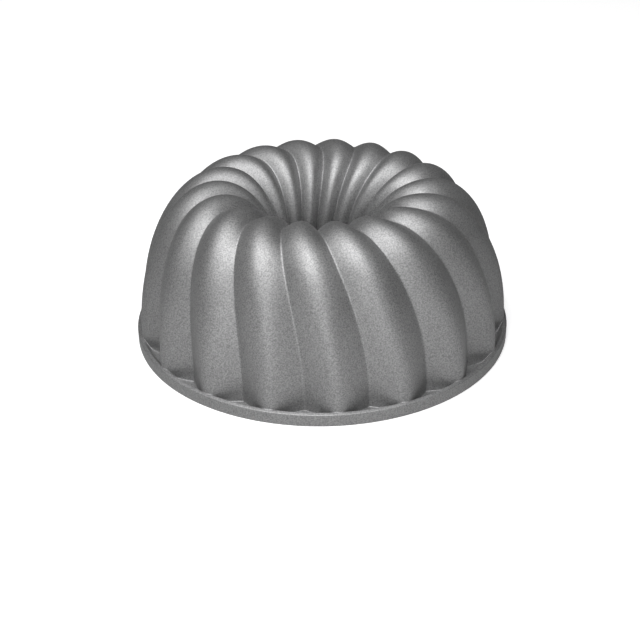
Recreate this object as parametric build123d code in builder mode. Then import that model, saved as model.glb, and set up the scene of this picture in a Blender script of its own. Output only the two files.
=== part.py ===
from build123d import *
import math
import os

# A fluted ring cake tin (bundt pan) in cast aluminium, standing mouth down on its rim.
# Millimetres. The origin is the centre of the mouth, on the surface that the rim rests on.
# +Z is up, and it is the tin's axis.
#
# One shell runs up the outside, over the crown and down the centre tube. It is folded into
# equal flutes that swirl round the axis. Each flute is a loft of cross-sections that stand
# square to the profile of the ridge tops, so the shell is worked out from that profile.

# Overall sizes
rim_radius = 125.0
height = 105.2

# Thickness of the shell
wall = 3.5

# Flutes
flute_count = 18
first_flute_angle = -5.7
wall_flute_depth = 11.9
crown_flute_depth = 5.3
tube_flute_depth = 3.6
tube_fade = 34.0
foot_roundness = 0.33
crown_roundness = 1.2

# Profile of the ridge tops: upright from the foot to the height of the bead, then two quarter
# ellipses that meet at the crown, then the straight taper of the centre tube
rim_margin = 2.0
crown_radius = 68.8
throat_height = 49.8
tube_taper = 0.9
tube_end_height = 6.2

# Swirl of the ridge tops, in degrees round the axis from where they start at the foot
crown_swirl = -14.4
tube_end_swirl = -0.2
crown_swirl_per_mm = -0.2275

# Flange, and the raised bead round its edge. The bead slopes down inwards to the flange, so
# that each groove ends in a small pocket, and the ridges run into the bead.
flange_thickness = 3.5
bead_height = 7.9
bead_crest_rise = 0.7
bead_width = 2.5
bead_slope_width = 3.4
bead_round = 0.6

# Plain collar that ends the centre tube, with a lip that stands inside it
collar_thickness = 3.2
collar_bore_radius = 24.0
collar_lip = 1.7

# Angles along the two quarter ellipses of the profile where the bands of the shell meet
shoulder_angle = 60.0
lip_angle = 55.0

# How far the tube is lofted past its end before it is trimmed level
tube_trim = 2.0
# Points along each cross-section of a flute
section_points = 9

half_pitch = math.pi / flute_count
foot_radius = rim_radius - rim_margin
tube_end_radius = collar_bore_radius + collar_lip
throat_radius = tube_end_radius + tube_taper
bead_crest_height = bead_height + bead_crest_rise
bead_crest_radius = rim_radius - bead_width
bead_slope_radius = bead_crest_radius - bead_slope_width


def ease(share):
    """Smooth step from 0 to 1."""
    return share * share * (3 - 2 * share)


def ellipse_run(side, end, angle):
    """Length of an ellipse from 0 degrees on its side semi-axis towards its end semi-axis."""
    steps = 90
    turn = math.radians(angle) / steps
    return sum(
        turn * math.hypot(side * math.sin(turn * (i + 0.5)), end * math.cos(turn * (i + 0.5)))
        for i in range(steps)
    )


wall_across = foot_radius - crown_radius
wall_up = height - bead_height
lip_across = crown_radius - throat_radius
lip_down = height - throat_height
tube_across = throat_radius - tube_end_radius
tube_down = throat_height - tube_end_height

wall_run = ellipse_run(wall_across, wall_up, 90)
lip_run = ellipse_run(lip_down, lip_across, 90)
inside_run = lip_run + math.hypot(tube_across, tube_down)

# A flute of this depth is an arc of the tube's own circle, so the tube ends round.
round_depth = -tube_end_radius * (1 - math.cos(half_pitch))


class Station:
    """One place on the ridge-top profile, with the flute's depth, swirl and roundness there."""

    def __init__(self, radius, level, step_radius, step_level, depth, swirl, roundness):
        step = math.hypot(step_radius, step_level)
        self.radius = radius
        self.level = level
        self.along = (step_radius / step, step_level / step)
        self.out = (step_level / step, -step_radius / step)
        self.depth = depth
        self.swirl = swirl
        self.roundness = roundness


def outside_station(angle):
    """On the outer quarter ellipse, from 0 degrees at the foot to 90 at the crown."""
    turn = math.radians(angle)
    share = ellipse_run(wall_across, wall_up, angle) / wall_run
    rise = share**2 * (1 - share) * crown_swirl_per_mm * wall_run
    return Station(
        crown_radius + wall_across * math.cos(turn),
        bead_height + wall_up * math.sin(turn),
        -wall_across * math.sin(turn),
        wall_up * math.cos(turn),
        wall_flute_depth + (crown_flute_depth - wall_flute_depth) * ease(share),
        crown_swirl * ease(share) - rise,
        foot_roundness + (crown_roundness - foot_roundness) * ease(share),
    )


def inside_station(radius, level, step_radius, step_level, run):
    """On the way down from the crown into the tube, a length of run from the crown.

    Over the last stretch of the tube the flutes fade into its round end.
    """
    share = min(1, run / inside_run)
    rise = share * (1 - share) ** 2 * crown_swirl_per_mm * inside_run
    depth = crown_flute_depth + (tube_flute_depth - crown_flute_depth) * ease(share)
    fade = ease(min(1, max(0, 1 - (inside_run - run) / tube_fade)))
    return Station(
        radius,
        level,
        step_radius,
        step_level,
        depth + (round_depth - depth) * fade,
        crown_swirl + (tube_end_swirl - crown_swirl) * ease(share) + rise,
        crown_roundness,
    )


def lip_station(angle):
    """On the inner quarter ellipse, from 0 degrees at the crown to 90 at the throat."""
    turn = math.radians(angle)
    return inside_station(
        crown_radius - lip_across * math.sin(turn),
        throat_height + lip_down * math.cos(turn),
        -lip_across * math.cos(turn),
        -lip_down * math.sin(turn),
        ellipse_run(lip_down, lip_across, angle),
    )


def tube_station(share):
    """On the straight taper of the tube, from 0 at the throat to 1 at its lower end."""
    return inside_station(
        throat_radius - tube_across * share,
        throat_height - tube_down * share,
        -tube_across,
        -tube_down,
        lip_run + (inside_run - lip_run) * share,
    )


def flute_edge(station, inset):
    """Points across one flute, from groove to groove, inset from its outer face.

    The ridge is rounded and its flanks are nearly straight. Both ends lie half a pitch from
    the ridge, so each flute meets the next one all along the groove.
    """
    half_width = (station.radius - (station.depth + inset) * station.out[0]) * math.tan(half_pitch)
    low = station.roundness
    span = math.hypot(low, 1) - low
    points = []
    for i in range(section_points):
        across = 2 * i / (section_points - 1) - 1
        fall = (math.hypot(low, across) - low) / span
        points.append((across * half_width, -inset - station.depth * fall))
    return points


def flute_section(station):
    """Closed section of one flute's wall, square to the profile at the station."""
    turn = math.radians(first_flute_angle + station.swirl)
    round_x, round_y = math.cos(turn), math.sin(turn)
    plane = Plane(
        origin=(station.radius * round_x, station.radius * round_y, station.level),
        x_dir=(-round_y, round_x, 0),
        z_dir=(-station.along[0] * round_x, -station.along[0] * round_y, -station.along[1]),
    )
    with BuildSketch(plane) as section:
        with BuildLine():
            outer = Spline(*flute_edge(station, 0))
            inner = Spline(*flute_edge(station, wall))
            Line(outer @ 0, inner @ 0)
            Line(outer @ 1, inner @ 1)
        make_face()
    return section.sketch


wall_stations = [outside_station(shoulder_angle * i / 6) for i in range(7)]
crown_stations = [outside_station(shoulder_angle + (90 - shoulder_angle) * i / 4) for i in range(4)]
crown_stations += [lip_station(lip_angle * i / 5) for i in range(6)]
tube_stations = [lip_station(lip_angle + (90 - lip_angle) * i / 3) for i in range(3)]
tube_stations += [tube_station(i / 6) for i in range(6)]
tube_stations.append(tube_station(1 + tube_trim / tube_down))

os.makedirs("parts", exist_ok=True)

# Plan of the wall's outer and inner faces at the foot
with BuildLine(mode=Mode.PRIVATE) as outer_flute:
    Spline(*[(foot_radius + out, across) for across, out in flute_edge(wall_stations[0], 0)])
with BuildLine(mode=Mode.PRIVATE) as inner_flute:
    Spline(*[(foot_radius + out, across) for across, out in flute_edge(wall_stations[0], wall)])
with BuildSketch() as foot_plan:
    with BuildLine():
        with PolarLocations(0, flute_count, start_angle=first_flute_angle):
            add(outer_flute.line)
    make_face()
with BuildSketch() as mouth_plan:
    with BuildLine():
        with PolarLocations(0, flute_count, start_angle=first_flute_angle):
            add(inner_flute.line)
    make_face()

# Flat flange, whose opening is the fluted mouth of the cavity
with BuildPart() as flange:
    with BuildSketch():
        Circle(rim_radius)
        add(mouth_plan.sketch, mode=Mode.SUBTRACT)
    extrude(amount=flange_thickness)
flange.part.label = "flange"
export_step(flange.part, "parts/flange.step")

# Raised bead on the flange, cut away where the wall's ridges stand
with BuildPart() as rim_bead:
    with BuildSketch(Plane.XZ):
        with BuildLine():
            FilletPolyline(
                (bead_slope_radius, flange_thickness),
                (rim_radius, flange_thickness),
                (rim_radius, bead_height),
                (bead_crest_radius, bead_crest_height),
                close=True,
                radius=(0, 0, bead_round, bead_round),
            )
        make_face()
    revolve(axis=Axis.Z)
    with BuildSketch(Plane.XY.offset(flange_thickness)):
        add(foot_plan.sketch)
    extrude(amount=bead_crest_height, mode=Mode.SUBTRACT)
rim_bead.part.label = "rim_bead"
export_step(rim_bead.part, "parts/rim_bead.step")

# Fluted outer wall, straight up from the flange to the bead and then on to the shoulder
with BuildPart() as wall_flute:
    loft([flute_section(station) for station in wall_stations])
with BuildPart() as fluted_wall:
    with BuildSketch(Plane.XY.offset(flange_thickness)):
        add(foot_plan.sketch)
        add(mouth_plan.sketch, mode=Mode.SUBTRACT)
    extrude(amount=bead_height - flange_thickness)
    with PolarLocations(0, flute_count):
        add(wall_flute.part)
fluted_wall.part.label = "fluted_wall"
export_step(fluted_wall.part, "parts/fluted_wall.step")

# Fluted crown, from the shoulder over the top and into the mouth of the tube
with BuildPart() as crown_flute:
    loft([flute_section(station) for station in crown_stations])
with BuildPart() as crown:
    with PolarLocations(0, flute_count):
        add(crown_flute.part)
crown.part.label = "crown"
export_step(crown.part, "parts/crown.step")

# Fluted centre tube, tapering from the crown down to its collar. It is lofted a little too
# long and trimmed level, to stand flat on the collar.
with BuildPart() as tube_flute:
    loft([flute_section(station) for station in tube_stations])
with BuildPart() as centre_tube:
    with PolarLocations(0, flute_count):
        add(tube_flute.part)
    split(bisect_by=Plane.XY.offset(tube_end_height))
centre_tube.part.label = "centre_tube"
export_step(centre_tube.part, "parts/centre_tube.step")

# Plain collar that ends the tube
with BuildPart() as tube_collar:
    with BuildSketch(Plane.XY.offset(tube_end_height - collar_thickness)):
        Circle(tube_end_radius + wall)
        Circle(collar_bore_radius, mode=Mode.SUBTRACT)
    extrude(amount=collar_thickness)
tube_collar.part.label = "tube_collar"
export_step(tube_collar.part, "parts/tube_collar.step")
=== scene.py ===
import math

import bpy
import numpy as np
from mathutils import Matrix, Vector


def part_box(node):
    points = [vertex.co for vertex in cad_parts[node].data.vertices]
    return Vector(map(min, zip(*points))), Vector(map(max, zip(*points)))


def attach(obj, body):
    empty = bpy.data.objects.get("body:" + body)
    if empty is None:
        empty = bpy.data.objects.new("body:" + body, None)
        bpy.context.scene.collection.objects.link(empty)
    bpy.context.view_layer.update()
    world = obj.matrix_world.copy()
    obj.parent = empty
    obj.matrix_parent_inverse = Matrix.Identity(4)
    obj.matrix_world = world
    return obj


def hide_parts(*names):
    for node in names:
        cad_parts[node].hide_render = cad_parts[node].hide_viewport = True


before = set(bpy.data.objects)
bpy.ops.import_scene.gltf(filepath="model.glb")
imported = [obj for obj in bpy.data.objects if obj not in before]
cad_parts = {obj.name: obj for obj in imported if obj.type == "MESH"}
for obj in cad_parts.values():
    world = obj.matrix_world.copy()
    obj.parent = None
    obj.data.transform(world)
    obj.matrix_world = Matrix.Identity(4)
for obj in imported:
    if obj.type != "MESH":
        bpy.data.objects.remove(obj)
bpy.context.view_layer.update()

# A fluted ring cake tin in coated cast aluminium, standing mouth down. Lengths are in
# millimetres until MM turns them into the frame's metres. The skin of the whole casting is
# worked out as one grid: columns run up the flutes and rows run round the axis. They are stacked
# round the casting's section once, so each named piece takes its own rows of that grid, is
# closed where it meets its neighbours, and keeps the grid's normals, so no seam shows.
MM = 0.001

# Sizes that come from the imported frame
RIM_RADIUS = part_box("flange")[1].x / MM
FLANGE_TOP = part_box("flange")[1].z / MM
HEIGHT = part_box("crown")[1].z / MM
COLLAR_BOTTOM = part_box("tube_collar")[0].z / MM
TUBE_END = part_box("tube_collar")[1].z / MM
COLLAR_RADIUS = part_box("tube_collar")[1].x / MM

# The shell's law, as in the CAD source. Only the ridges at the foot are a little sharper here.
WALL = 3.5
FLUTES = 18
FIRST_FLUTE = math.radians(-5.7)
WALL_DEPTH = 11.9
CROWN_DEPTH = 5.3
TUBE_DEPTH = 3.6
TUBE_FADE = 34.0
FOOT_ROUNDNESS = 0.24
CROWN_ROUNDNESS = 1.2
RIM_MARGIN = 2.0
FOOT_RADIUS = RIM_RADIUS - RIM_MARGIN
CROWN_RADIUS = 68.8
THROAT_HEIGHT = 49.8
TUBE_TAPER = 0.9
TUBE_END_RADIUS = COLLAR_RADIUS - WALL
THROAT_RADIUS = TUBE_END_RADIUS + TUBE_TAPER
BORE_RADIUS = 24.0
CROWN_SWIRL = math.radians(-14.4)
TUBE_END_SWIRL = math.radians(-0.2)
CROWN_SWIRL_RATE = math.radians(-0.2275)
BEAD_HEIGHT = 7.9
CREST_HEIGHT = 8.6
BEAD_WIDTH = 2.5
BEAD_SLOPE_WIDTH = 3.4
CREST_RADIUS = RIM_RADIUS - BEAD_WIDTH
SLOPE_RADIUS = CREST_RADIUS - BEAD_SLOPE_WIDTH
SHOULDER = math.radians(60.0)
LIP = math.radians(55.0)
HALF_PITCH = math.pi / FLUTES

# Fillets of the casting, which the CAD solids leave sharp
GROOVE_ROUND = 0.8
RIB_ROUND = 2.4
FOOT_ROUND = 0.8
POCKET_ROUND = 0.9
CREST_ROUND = 0.7
RIM_TOP_ROUND = 0.6
RIM_BOTTOM_ROUND = 0.6
MOUTH_ROUND = 0.9
COLLAR_ROUND = 0.5

# How finely the skin is divided
HALF_FLUTE_COLUMNS = 18
GROOVE_CROWDING = 1.7
OUTER_STEP = 1.5
INNER_STEP = 3.0
ELLIPSE_POINTS = 2001
CORNER_STEPS = 6
FINE_CORNER_STEPS = 12
FILLET_ROWS = 9
MOUTH_ROWS = 7
FAN_ROWS = 11
RIM_FACE_ROWS = 6
FLANGE_TOP_ROWS = 12
# Rows on the bead's side, its outer corner, its top and its inner slope
BEAD_ROWS = (5, 8, 8, 26)
# Least lengths of the bead's top and crest, where a ridge runs into it
LEAST_GAP = 0.2
CREST_GAP = 0.3

# A groove's rounding takes at most this share of half a flute
WIDEST_ROUNDING = 0.35
# Points nearer than this, in millimetres, are one point
SAME_POINT = 1e-6
# Decimals that tell two corners of a piece apart, and the least length of a normal
CORNER_DECIMALS = 4
LEAST_LENGTH = 1e-12

half = np.linspace(0, 1, HALF_FLUTE_COLUMNS + 1)
half = 1 - (1 - half) ** GROOVE_CROWDING
across = np.concatenate([-half[:0:-1], half[:-1]])
U = np.tile(across, FLUTES)
FLUTE_ANGLE = FIRST_FLUTE + 2 * HALF_PITCH * np.repeat(np.arange(FLUTES), len(across))
COLUMNS = len(U)

WALL_ACROSS = FOOT_RADIUS - CROWN_RADIUS
WALL_UP = HEIGHT - BEAD_HEIGHT
LIP_ACROSS = CROWN_RADIUS - THROAT_RADIUS
LIP_DOWN = HEIGHT - THROAT_HEIGHT
TUBE_ACROSS = THROAT_RADIUS - TUBE_END_RADIUS
TUBE_DOWN = THROAT_HEIGHT - TUBE_END
TUBE_RUN = math.hypot(TUBE_ACROSS, TUBE_DOWN)
ROUND_DEPTH = -TUBE_END_RADIUS * (1 - math.cos(HALF_PITCH))


def ease(share):
    """Smooth step from 0 to 1."""
    return share * share * (3 - 2 * share)


def ellipse_table(side, end):
    """Angles of a quarter ellipse and the length of its arc up to each."""
    angles = np.linspace(0, math.pi / 2, ELLIPSE_POINTS)
    middle = (angles[1:] + angles[:-1]) / 2
    pieces = np.hypot(side * np.sin(middle), end * np.cos(middle)) * (angles[1] - angles[0])
    return angles, np.concatenate([[0], np.cumsum(pieces)])


WALL_ANGLES, WALL_RUNS = ellipse_table(WALL_ACROSS, WALL_UP)
LIP_ANGLES, LIP_RUNS = ellipse_table(LIP_DOWN, LIP_ACROSS)
INSIDE_RUN = LIP_RUNS[-1] + TUBE_RUN


def station(radius, level, step_radius, step_level, depth, swirl, roundness):
    """Places on the ridge-top profile: radius, height, outward direction and the flute there."""
    step = np.hypot(step_radius, step_level)
    return radius, level, step_level / step, -step_radius / step, depth, swirl, roundness


def outside(angle):
    """Stations on the outer quarter ellipse, from 0 at the foot to a right angle at the crown."""
    run = np.interp(angle, WALL_ANGLES, WALL_RUNS)
    share = run / WALL_RUNS[-1]
    rise = share**2 * (1 - share) * CROWN_SWIRL_RATE * WALL_RUNS[-1]
    return station(
        CROWN_RADIUS + WALL_ACROSS * np.cos(angle),
        BEAD_HEIGHT + WALL_UP * np.sin(angle),
        -WALL_ACROSS * np.sin(angle),
        WALL_UP * np.cos(angle),
        WALL_DEPTH + (CROWN_DEPTH - WALL_DEPTH) * ease(share),
        CROWN_SWIRL * ease(share) - rise,
        FOOT_ROUNDNESS + (CROWN_ROUNDNESS - FOOT_ROUNDNESS) * ease(share),
    )


def inside(radius, level, step_radius, step_level, run):
    """Stations at these lengths of run from the crown on the way down into the tube."""
    share = np.minimum(1, run / INSIDE_RUN)
    rise = share * (1 - share) ** 2 * CROWN_SWIRL_RATE * INSIDE_RUN
    depth = CROWN_DEPTH + (TUBE_DEPTH - CROWN_DEPTH) * ease(share)
    fade = ease(np.clip(1 - (INSIDE_RUN - run) / TUBE_FADE, 0, 1))
    swirl = CROWN_SWIRL + (TUBE_END_SWIRL - CROWN_SWIRL) * ease(share) + rise
    depth = depth + (ROUND_DEPTH - depth) * fade
    roundness = np.full_like(share, CROWN_ROUNDNESS)
    return station(radius, level, step_radius, step_level, depth, swirl, roundness)


def over_lip(angle):
    """Stations on the inner quarter ellipse, from 0 at the crown to a right angle at the throat."""
    return inside(
        CROWN_RADIUS - LIP_ACROSS * np.sin(angle),
        THROAT_HEIGHT + LIP_DOWN * np.cos(angle),
        -LIP_ACROSS * np.cos(angle),
        -LIP_DOWN * np.sin(angle),
        np.interp(angle, LIP_ANGLES, LIP_RUNS),
    )


def down_tube(share):
    """Stations on the tube's straight taper, from 0 at the throat to 1 at the collar."""
    return inside(
        THROAT_RADIUS - TUBE_ACROSS * share,
        THROAT_HEIGHT - TUBE_DOWN * share,
        np.full_like(share, -TUBE_ACROSS),
        np.full_like(share, -TUBE_DOWN),
        LIP_RUNS[-1] + TUBE_RUN * share,
    )


def skin(stations, inset, rounding):
    """Points and azimuths of the skin at the stations, one row for each.

    Between the ridge and the groove the section is a hyperbola. Over the last stretch before
    the groove, as wide as rounding, it bends to meet the next flute without a crease.
    """
    shape = (len(stations[0]), COLUMNS)
    spread_out = (v if np.ndim(v) == 2 else np.reshape(v, (-1, 1)) for v in stations)
    radius, level, out_r, out_z, depth, swirl, low = (np.broadcast_to(v, shape) for v in spread_out)
    half_width = (radius - (depth + inset) * out_r) * math.tan(HALF_PITCH)
    span = np.hypot(low, 1) - low
    size = np.abs(U)[None, :]
    soft = np.clip(rounding / half_width, 0, WIDEST_ROUNDING)
    start = np.minimum(size, 1 - soft)
    bend = size - start
    slope = start / np.hypot(low, start) / span
    steep = np.abs(depth) > SAME_POINT
    flat = np.where(steep, math.tan(HALF_PITCH) * out_r * half_width / np.where(steep, depth, 1), 0)
    fall = (np.hypot(low, start) - low) / span + slope * bend + (flat - slope) * bend**2 / soft / 2
    y = -inset - depth * fall
    x = U[None, :] * half_width
    rho = radius + out_r * y
    z = level + out_z * y
    azimuth = FLUTE_ANGLE[None, :] + swirl + np.arctan2(x, rho)
    return np.hypot(rho, x), azimuth, z


def rounded(corners, lengths, steps=CORNER_STEPS):
    """A polyline in (radius, height) with each inner corner eased over its length each side."""
    corners = [np.array(c, float) for c in corners]
    points = [corners[0]]
    for before, corner, after, length in zip(corners, corners[1:], corners[2:], lengths):
        a = corner + (before - corner) * length / np.linalg.norm(before - corner)
        b = corner + (after - corner) * length / np.linalg.norm(after - corner)
        for t in np.linspace(0, 1, steps + 1):
            points.append((1 - t) ** 2 * a + 2 * t * (1 - t) * corner + t * t * b)
    return np.array(points + [corners[-1]])


def ring(points, azimuth):
    """Rows of the grid that are plain rings, one for each point in (radius, height)."""
    points = np.asarray(points, float)
    return (
        np.repeat(points[:, :1], COLUMNS, 1),
        np.repeat(azimuth[None, :], len(points), 0),
        np.repeat(points[:, 1:], COLUMNS, 1),
    )


def steps_for(length, step):
    """How many rows divide a length into steps no longer than this."""
    return max(2, int(math.ceil(length / step)) + 1)


def even_angles(angles, runs, first, last, step):
    """Angles at even arc lengths from first to last."""
    a, b = np.interp([first, last], angles, runs)
    return np.interp(np.linspace(a, b, steps_for(abs(b - a), step)), runs, angles)


# The bead's section: a stretch of the flange, then the slope, crest, top and outer side
FLANGE_REACH = 20
bead_line = rounded(
    [
        (SLOPE_RADIUS - FLANGE_REACH, FLANGE_TOP),
        (SLOPE_RADIUS, FLANGE_TOP),
        (CREST_RADIUS, CREST_HEIGHT),
        (RIM_RADIUS, BEAD_HEIGHT),
        (RIM_RADIUS, FLANGE_TOP),
    ],
    [POCKET_ROUND, CREST_ROUND, RIM_TOP_ROUND],
    FINE_CORNER_STEPS,
)
bead_run = np.concatenate([[0], np.cumsum(np.hypot(*np.diff(bead_line, axis=0).T))])
upper = bead_line[:, 0] < RIM_RADIUS - SAME_POINT
slope_start = SLOPE_RADIUS - POCKET_ROUND


def bead_level(radius):
    """Height of the bead or the flange at this radius."""
    return np.interp(radius, bead_line[upper, 0], bead_line[upper, 1])


def bead_place(radius):
    """Length along the bead's section where it has this radius."""
    return np.interp(radius, bead_line[upper, 0], bead_run[upper])


# The foot of the wall in each column: its radius, and the fillet that joins it to the flange
# or to the bead, whichever it meets
foot_r, foot_azimuth, _ = (row[0] for row in skin(outside(np.zeros(1)), 0, GROOVE_ROUND))
foot_z = bead_level(foot_r)
turned = np.roll(foot_r, -1) - np.roll(foot_r, 1)
spread = np.angle(np.exp(1j * (np.roll(foot_azimuth, -1) - np.roll(foot_azimuth, 1)))) * foot_r
lean = np.hypot(turned, spread) / spread
fillet_start = foot_z + FOOT_ROUND
fillet_end_r = foot_r + FOOT_ROUND * lean
fillet_end_z = bead_level(fillet_end_r)

t = np.linspace(1, 0, FILLET_ROWS)[:, None]
fillet = (
    (1 - t) ** 2 * foot_r + 2 * t * (1 - t) * foot_r + t * t * fillet_end_r,
    np.repeat(foot_azimuth[None, :], FILLET_ROWS, 0),
    (1 - t) ** 2 * fillet_start + 2 * t * (1 - t) * foot_z + t * t * fillet_end_z,
)

# Outer face of the wall: rows that fan out from the fillet up to an even level, then rows
# at even arc lengths
EVEN_LEVEL = 22.0
fan = np.linspace(0, 1, FAN_ROWS)[1:, None]
fan_level = fillet_start + (EVEN_LEVEL - fillet_start) * fan
fan_angle = np.arcsin(np.clip((fan_level - BEAD_HEIGHT) / WALL_UP, 0, 1))
fan_stations = list(outside(fan_angle))
fan_stations[1] = np.where(fan_level < BEAD_HEIGHT, fan_level, fan_stations[1])
even_start = math.asin((EVEN_LEVEL - BEAD_HEIGHT) / WALL_UP)


def join(*parts):
    """Bands of rows, one after another."""
    return tuple(np.concatenate([p[i] for p in parts]) for i in range(3))


def after_first(rows):
    """The same rows without the first, which the band before already has."""
    return tuple(v[1:] for v in rows)


wall_out = join(
    fillet,
    skin(fan_stations, 0, GROOVE_ROUND),
    after_first(
        skin(
            outside(even_angles(WALL_ANGLES, WALL_RUNS, even_start, SHOULDER, OUTER_STEP)),
            0,
            GROOVE_ROUND,
        )
    ),
)
crown_angles = even_angles(WALL_ANGLES, WALL_RUNS, SHOULDER, math.pi / 2, OUTER_STEP)
lip_angles = even_angles(LIP_ANGLES, LIP_RUNS, 0, LIP, OUTER_STEP)
crown_out = join(
    skin(outside(crown_angles), 0, GROOVE_ROUND),
    after_first(skin(over_lip(lip_angles), 0, GROOVE_ROUND)),
)
throat_angles = even_angles(LIP_ANGLES, LIP_RUNS, LIP, math.pi / 2, OUTER_STEP)
tube_end_share = 1 - (COLLAR_ROUND / TUBE_DOWN)
tube_shares = np.linspace(0, tube_end_share, steps_for(TUBE_DOWN, OUTER_STEP))
collar_azimuth = FLUTE_ANGLE + TUBE_END_SWIRL + U * HALF_PITCH
tube_lip = rounded(
    [
        (TUBE_END_RADIUS, TUBE_END + COLLAR_ROUND),
        (TUBE_END_RADIUS, TUBE_END),
        (TUBE_END_RADIUS - COLLAR_ROUND, TUBE_END),
    ],
    [COLLAR_ROUND],
)[2:-1]
tube_out = join(
    skin(over_lip(throat_angles), 0, GROOVE_ROUND),
    after_first(skin(down_tube(tube_shares), 0, GROOVE_ROUND)),
    ring(tube_lip, collar_azimuth),
)
collar = ring(
    rounded(
        [
            (TUBE_END_RADIUS - COLLAR_ROUND, TUBE_END),
            (BORE_RADIUS, TUBE_END),
            (BORE_RADIUS, COLLAR_BOTTOM),
            (COLLAR_RADIUS, COLLAR_BOTTOM),
            (COLLAR_RADIUS, TUBE_END),
        ],
        [COLLAR_ROUND, COLLAR_ROUND, COLLAR_ROUND],
    ),
    collar_azimuth,
)

# Cavity side, from the collar up the tube, over and down the wall to the mouth
inner_shares = np.linspace(1, 0, steps_for(TUBE_DOWN, INNER_STEP))[1:]
tube_in = join(
    ring([(COLLAR_RADIUS, TUBE_END)], collar_azimuth),
    skin(down_tube(inner_shares), WALL, RIB_ROUND),
    after_first(
        skin(
            over_lip(even_angles(LIP_ANGLES, LIP_RUNS, math.pi / 2, LIP, INNER_STEP)),
            WALL,
            RIB_ROUND,
        )
    ),
)
crown_in = join(
    skin(over_lip(even_angles(LIP_ANGLES, LIP_RUNS, LIP, 0, INNER_STEP)), WALL, RIB_ROUND),
    after_first(
        skin(
            outside(even_angles(WALL_ANGLES, WALL_RUNS, math.pi / 2, SHOULDER, INNER_STEP)),
            WALL,
            RIB_ROUND,
        )
    ),
)
wall_in_upper = skin(
    outside(even_angles(WALL_ANGLES, WALL_RUNS, SHOULDER, 0, INNER_STEP)), WALL, RIB_ROUND
)
mouth_r, mouth_azimuth = wall_in_upper[0][-1], wall_in_upper[1][-1]


def straight(level):
    """One row of the mouth's outline at this level."""
    return mouth_r[None, :], mouth_azimuth[None, :], np.full((1, COLUMNS), float(level))


wall_in = join(wall_in_upper, straight((BEAD_HEIGHT + FLANGE_TOP) / 2), straight(FLANGE_TOP))
t = np.linspace(0, 1, MOUTH_ROWS)[:, None]
mouth_edge = (
    mouth_r + MOUTH_ROUND * t * t,
    np.repeat(mouth_azimuth[None, :], MOUTH_ROWS, 0),
    np.repeat(MOUTH_ROUND * (1 - t) ** 2, COLUMNS, 1),
)
rim_edge = rounded(
    [
        (RIM_RADIUS - RIM_BOTTOM_ROUND, 0),
        (RIM_RADIUS, 0),
        (RIM_RADIUS, RIM_BOTTOM_ROUND),
    ],
    [RIM_BOTTOM_ROUND],
)[1:-1]


def blend_rows(first, last, count):
    """Straight rows, as many as count, between one row of the grid and another."""
    (r0, a0, z0), (r1, a1, z1) = first, last
    start = np.stack([r0 * np.cos(a0), r0 * np.sin(a0), z0], -1)
    end = np.stack([r1 * np.cos(a1), r1 * np.sin(a1), z1], -1)
    share = np.linspace(0, 1, count + 2)[1:-1, None, None]
    line = start + (end - start) * share
    return (
        np.hypot(line[..., 0], line[..., 1]),
        np.arctan2(line[..., 1], line[..., 0]),
        line[..., 2],
    )


rim_bottom = ring(rim_edge, foot_azimuth)
underside = join(
    straight(FLANGE_TOP),
    straight((FLANGE_TOP + MOUTH_ROUND) / 2),
    mouth_edge,
    blend_rows([v[-1] for v in mouth_edge], [v[0] for v in rim_bottom], RIM_FACE_ROWS),
    rim_bottom,
    ring([(RIM_RADIUS, FLANGE_TOP)], foot_azimuth),
)

# The bead's skin, from its outer side over the crest and down to where it meets the flange
# or the wall's fillet
bead_start = bead_place(np.maximum(fillet_end_r, slope_start))
crest_place = np.maximum(bead_place(CREST_RADIUS), bead_start + CREST_GAP)
rim_corner = bead_place(RIM_RADIUS - RIM_TOP_ROUND)
side_run = bead_run[-1] - (BEAD_HEIGHT - FLANGE_TOP - RIM_TOP_ROUND)
top_corner = np.maximum(np.full(COLUMNS, rim_corner), crest_place + LEAST_GAP)
stops = [np.full(COLUMNS, bead_run[-1]), np.full(COLUMNS, side_run), top_corner]
stops += [crest_place, bead_start]
places = [stops[0][None, :]]
for first, last, count in zip(stops, stops[1:], BEAD_ROWS):
    places.append(first + (last - first) * np.linspace(0, 1, count + 1)[1:, None])
places = np.concatenate(places)
bead_out = (
    np.interp(places, bead_run, bead_line[:, 0]),
    np.repeat(foot_azimuth[None, :], len(places), 0),
    np.interp(places, bead_run, bead_line[:, 1]),
)


def cartesian(rows):
    """Rows of (radius, azimuth, height) as points."""
    r, a, z = rows
    return np.stack([r * np.cos(a), r * np.sin(a), z], -1)


# The whole skin, once round the section
skins = {
    "bead": bead_out,
    "wall_out": wall_out,
    "crown_out": crown_out,
    "tube_out": tube_out,
    "collar": collar,
    "tube_in": tube_in,
    "crown_in": crown_in,
    "wall_in": wall_in,
    "underside": underside,
}
grid = np.concatenate([cartesian(rows) for rows in skins.values()])


def face_normals(points):
    """Area-weighted normals of a closed grid's faces, one row fewer than its points."""
    right = np.roll(points, -1, 1)
    return np.cross(right[1:] - points[:-1], points[1:] - right[:-1]) / 2


def grid_normals(points):
    """Vertex normals of a grid whose rows and columns both close."""
    faces = face_normals(np.concatenate([points, points[:1]]))
    total = faces + np.roll(faces, 1, 1)
    total = total + np.roll(total, 1, 0)
    length = np.linalg.norm(total, axis=-1, keepdims=True)
    return total / np.maximum(length, LEAST_LENGTH)


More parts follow.
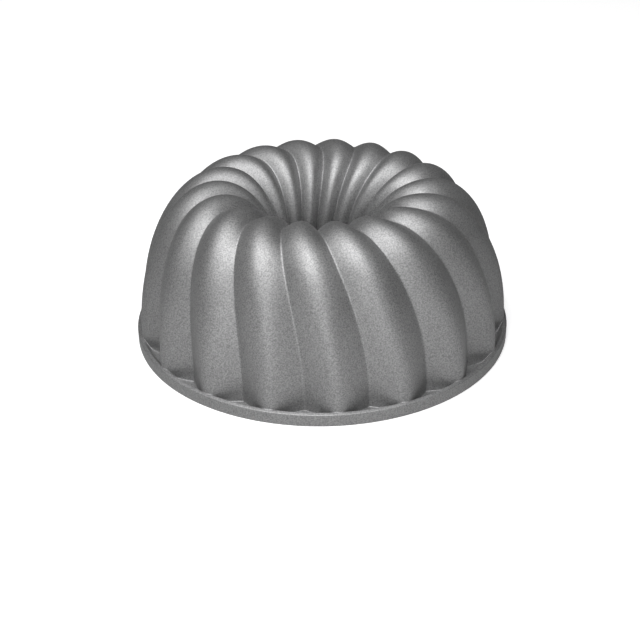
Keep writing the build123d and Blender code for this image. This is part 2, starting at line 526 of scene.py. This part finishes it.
# Rows that two neighbours share are there twice, so they are merged for the normals
keep = [0]
for i in range(1, len(grid)):
    if np.abs(grid[i] - grid[keep[-1]]).max() > SAME_POINT:
        keep.append(i)
if np.abs(grid[keep[-1]] - grid[0]).max() < SAME_POINT:
    keep.pop()
merged = grid_normals(grid[keep])
owner = np.searchsorted(keep, np.arange(len(grid)), side="right") - 1
owner[np.arange(len(grid)) > keep[-1]] = 0
for i in range(len(grid)):
    if np.abs(grid[i] - grid[keep[owner[i]]]).max() > SAME_POINT:
        owner[i] = 0
normals = {}
start = 0
for name, rows in skins.items():
    count = len(rows[0])
    normals[name] = merged[owner[start : start + count]]
    start += count


def strip(name):
    """A band of the skin with the normals of the whole grid."""
    return cartesian(skins[name]), normals[name]


def cap(first, last, count=0):
    """A flat or hidden band from one row to another, with its own normals."""
    share = np.linspace(0, 1, count + 2)[:, None, None]
    return first + (last - first) * share, None


def make_piece(name, node, strips):
    """A closed mesh from strips of the grid, in order round the piece's section."""
    points, quads, corner_normals = [], [], []
    total = 0
    for grid_points, grid_norms in strips:
        rows = len(grid_points)
        index = np.arange(rows * COLUMNS).reshape(rows, COLUMNS) + total
        right = np.roll(index, -1, 1)
        quad = np.stack([index[:-1], right[:-1], right[1:], index[1:]], -1).reshape(-1, 4)
        quads.append(quad)
        if grid_norms is None:
            flat = face_normals(grid_points).reshape(-1, 3)
            flat = flat / np.maximum(np.linalg.norm(flat, axis=1, keepdims=True), LEAST_LENGTH)
            corner_normals.append(np.repeat(flat[:, None, :], 4, 1))
        else:
            corner_normals.append(grid_norms.reshape(-1, 3)[quad - total])
        points.append(grid_points.reshape(-1, 3))
        total += rows * COLUMNS
    points = np.concatenate(points)
    quads = np.concatenate(quads)
    corner_normals = np.concatenate(corner_normals)
    corners = np.round(points, CORNER_DECIMALS)
    _, first, same = np.unique(corners, axis=0, return_index=True, return_inverse=True)
    points = points[first]
    quads = same.reshape(-1)[quads]
    faces, loops = [], []
    for corners, norms in zip(quads.tolist(), corner_normals):
        used = [k for k in range(4) if corners[k] != corners[k - 1]]
        if len({corners[k] for k in used}) < 3:
            continue
        faces.append([corners[k] for k in used])
        loops.extend(norms[k] for k in used)
    mesh = bpy.data.meshes.new(name)
    mesh.from_pydata((points * MM).tolist(), [], faces)
    mesh.polygons.foreach_set("use_smooth", [True] * len(faces))
    mesh.normals_split_custom_set([tuple(n) for n in loops])
    mesh.update()
    obj = bpy.data.objects.new(name, mesh)
    bpy.context.scene.collection.objects.link(obj)
    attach(obj, "root")
    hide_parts(node)
    obj.data.materials.append(coating)


def row(name, index):
    """One row of a band, as points."""
    return cartesian(skins[name])[index]


def level_at(points, level):
    """The same points, all at one height."""
    moved = points.copy()
    moved[:, 2] = level
    return moved


# Cast aluminium under a baked-on grey metallic coating with a fine sandy grain
GRAIN_SCALE = 1150
CLOUD_SCALE = 60
DARK_SPECK = (0.23, 0.23, 0.232, 1)
LIGHT_SPECK = (0.44, 0.44, 0.442, 1)
GRAIN_HEIGHT = 0.00015
GRAIN_STRENGTH = 0.42
METALLIC = 0.78
ROUGHNESS = (0.51, 0.57)


def make_coating():
    """The one material of all the pieces."""
    material = bpy.data.materials.new("coated_aluminium")
    material.use_nodes = True
    nodes = material.node_tree.nodes
    links = material.node_tree.links
    shader = nodes["Principled BSDF"]
    shader.inputs["Metallic"].default_value = METALLIC
    shader.inputs["IOR"].default_value = 1.5
    place = nodes.new("ShaderNodeTexCoord")

    def noise(scale, detail, roughness):
        """Noise that stays with the object."""
        node = nodes.new("ShaderNodeTexNoise")
        node.inputs["Scale"].default_value = scale
        node.inputs["Detail"].default_value = detail
        node.inputs["Roughness"].default_value = roughness
        links.new(place.outputs["Object"], node.inputs["Vector"])
        return node

    def ramp(source, low, high, first, last):
        """A value that goes from first to last as the source goes from low to high."""
        node = nodes.new("ShaderNodeMapRange")
        node.inputs["From Min"].default_value = low
        node.inputs["From Max"].default_value = high
        node.inputs["To Min"].default_value = first
        node.inputs["To Max"].default_value = last
        links.new(source, node.inputs["Value"])
        return node

    fine = noise(GRAIN_SCALE, 2, 0.6)
    coarse = noise(CLOUD_SCALE, 3, 0.5)
    speck = ramp(fine.outputs["Fac"], 0.3, 0.7, 0.0, 1.0)
    colour = nodes.new("ShaderNodeMix")
    colour.data_type = "RGBA"
    colour.inputs["A"].default_value = DARK_SPECK
    colour.inputs["B"].default_value = LIGHT_SPECK
    links.new(speck.outputs["Result"], colour.inputs["Factor"])
    links.new(colour.outputs["Result"], shader.inputs["Base Color"])
    rough = ramp(coarse.outputs["Fac"], 0.35, 0.65, *ROUGHNESS)
    links.new(rough.outputs["Result"], shader.inputs["Roughness"])
    bump = nodes.new("ShaderNodeBump")
    bump.inputs["Strength"].default_value = GRAIN_STRENGTH
    bump.inputs["Distance"].default_value = GRAIN_HEIGHT
    links.new(fine.outputs["Fac"], bump.inputs["Height"])
    links.new(bump.outputs["Normal"], shader.inputs["Normal"])
    return material


coating = make_coating()

flange_side = cartesian(ring([(RIM_RADIUS, FLANGE_TOP)], foot_azimuth))[0]
mouth_top = row("wall_in", -1)
wall_foot = row("wall_out", 0)
bead_end = row("bead", -1)
make_piece(
    "flange_casting",
    "flange",
    [strip("underside"), cap(flange_side, mouth_top, FLANGE_TOP_ROWS)],
)
make_piece(
    "rim_bead_casting",
    "rim_bead",
    [
        strip("bead"),
        cap(bead_end, level_at(bead_end, FLANGE_TOP)),
        cap(level_at(bead_end, FLANGE_TOP), flange_side, 2),
    ],
)
make_piece(
    "fluted_wall_casting",
    "fluted_wall",
    [
        strip("wall_out"),
        cap(row("wall_out", -1), row("wall_in", 0)),
        strip("wall_in"),
        cap(mouth_top, level_at(wall_foot, FLANGE_TOP), 2),
        cap(level_at(wall_foot, FLANGE_TOP), wall_foot),
    ],
)
make_piece(
    "crown_casting",
    "crown",
    [
        strip("crown_out"),
        cap(row("crown_out", -1), row("crown_in", 0)),
        strip("crown_in"),
        cap(row("crown_in", -1), row("crown_out", 0)),
    ],
)
make_piece(
    "centre_tube_casting",
    "centre_tube",
    [
        strip("tube_out"),
        cap(row("tube_out", -1), row("tube_in", 0), 1),
        strip("tube_in"),
        cap(row("tube_in", -1), row("tube_out", 0)),
    ],
)
make_piece(
    "tube_collar_casting",
    "tube_collar",
    [strip("collar"), cap(row("collar", -1), row("collar", 0), 1)],
)


# Floor: plain and pale to the eye. What it throws back at the tin fades from front to back. This is
# painted light: the floor's bounce colour is lighter in front and darker behind, standing in for
# brighter light in front of the tin.
FLOOR_FADE = (-0.30, 0.10)
FLOOR_PAINTED_BOUNCE = (0.95, 0.22)
FLOOR_HALF_SIZE = 6.0
FLOOR_COLOUR = (0.9, 0.9, 0.9, 1)
FLOOR_ROUGHNESS = 0.9
FLOOR_GLOW = 0.4


def make_floor():
    """A plain square floor at the height of the mouth."""
    size = FLOOR_HALF_SIZE
    mesh = bpy.data.meshes.new("floor")
    mesh.from_pydata(
        [(-size, -size, 0), (size, -size, 0), (size, size, 0), (-size, size, 0)],
        [],
        [(0, 1, 2, 3)],
    )
    floor = bpy.data.objects.new("floor", mesh)
    bpy.context.scene.collection.objects.link(floor)
    material = bpy.data.materials.new("pale_floor")
    material.use_nodes = True
    shader = material.node_tree.nodes["Principled BSDF"]
    shader.inputs["Base Color"].default_value = FLOOR_COLOUR
    shader.inputs["Roughness"].default_value = FLOOR_ROUGHNESS
    shader.inputs["Emission Color"].default_value = (1, 1, 1, 1)
    shader.inputs["Emission Strength"].default_value = FLOOR_GLOW
    nodes, links = material.node_tree.nodes, material.node_tree.links
    # Painted light: the colour the floor throws back at the tin is lighter in front and darker
    # behind
    painted_bounce = nodes.new("ShaderNodeBsdfDiffuse")
    place = nodes.new("ShaderNodeTexCoord")
    axes = nodes.new("ShaderNodeSeparateXYZ")
    links.new(place.outputs["Object"], axes.inputs["Vector"])
    fade = nodes.new("ShaderNodeMapRange")
    fade.inputs["From Min"].default_value = FLOOR_FADE[0]
    fade.inputs["From Max"].default_value = FLOOR_FADE[1]
    fade.inputs["To Min"].default_value = FLOOR_PAINTED_BOUNCE[0]
    fade.inputs["To Max"].default_value = FLOOR_PAINTED_BOUNCE[1]
    links.new(axes.outputs["Y"], fade.inputs["Value"])
    links.new(fade.outputs["Result"], painted_bounce.inputs["Color"])
    mix = nodes.new("ShaderNodeMixShader")
    ray = nodes.new("ShaderNodeLightPath")
    links.new(ray.outputs["Is Camera Ray"], mix.inputs[0])
    links.new(painted_bounce.outputs[0], mix.inputs[1])
    links.new(shader.outputs[0], mix.inputs[2])
    links.new(mix.outputs[0], nodes["Material Output"].inputs["Surface"])
    floor.data.materials.append(material)


make_floor()


# Studio light: one large soft box high in front, a weak low fill, and a room that is lighter
# in front than behind
KEY = {"place": (-0.42, -0.9, 2.6), "target": (0, 0, 0.04), "size": (2.9, 2.3), "power": 96}
FILL = {"place": (-0.2, -2.6, 0.7), "target": (0, 0, 0.05), "size": (1.2, 1.0), "power": 12}
ROOM_FRONT = 0.60
ROOM_BACK = 0.22


def area_light(name, place, target, size, power):
    """A rectangular light that faces its target."""
    data = bpy.data.lights.new(name, "AREA")
    data.shape = "RECTANGLE"
    data.size, data.size_y = size
    data.energy = power
    light = bpy.data.objects.new(name, data)
    light.location = place
    light.rotation_euler = (Vector(target) - Vector(place)).to_track_quat("-Z", "Y").to_euler()
    bpy.context.scene.collection.objects.link(light)


area_light("key_softbox", **KEY)
area_light("front_fill", **FILL)

world = bpy.data.worlds.new("studio")
bpy.context.scene.world = world
world.use_nodes = True
background = world.node_tree.nodes["Background"]
nodes, links = world.node_tree.nodes, world.node_tree.links
direction = nodes.new("ShaderNodeTexCoord")
axes = nodes.new("ShaderNodeSeparateXYZ")
links.new(direction.outputs["Generated"], axes.inputs["Vector"])
fade = nodes.new("ShaderNodeMapRange")
fade.inputs["From Min"].default_value = -1.0
fade.inputs["From Max"].default_value = 1.0
fade.inputs["To Min"].default_value = ROOM_FRONT
fade.inputs["To Max"].default_value = ROOM_BACK
links.new(axes.outputs["Y"], fade.inputs["Value"])
links.new(fade.outputs["Result"], background.inputs["Strength"])

# Camera, in front of the tin and a little above it
ELEVATION = math.radians(28.42)
DISTANCE = 0.8261
AIM = Vector((0, 0, 0.025))
ROLL = math.radians(-0.73)
LENS = 68.62
SENSOR = 36
SHIFT = (-0.0029, -0.0466)
back = Vector((0, -math.cos(ELEVATION), math.sin(ELEVATION)))
camera_data = bpy.data.cameras.new("camera")
camera_data.lens = LENS
camera_data.sensor_width = SENSOR
camera_data.shift_x, camera_data.shift_y = SHIFT
camera = bpy.data.objects.new("camera", camera_data)
turn = (-back).to_track_quat("-Z", "Y").to_matrix() @ Matrix.Rotation(ROLL, 3, "Z")
camera.matrix_world = Matrix.Translation(AIM + back * DISTANCE) @ turn.to_4x4()
bpy.context.scene.collection.objects.link(camera)
bpy.context.scene.camera = camera

bpy.context.scene.view_settings.view_transform = "Standard"
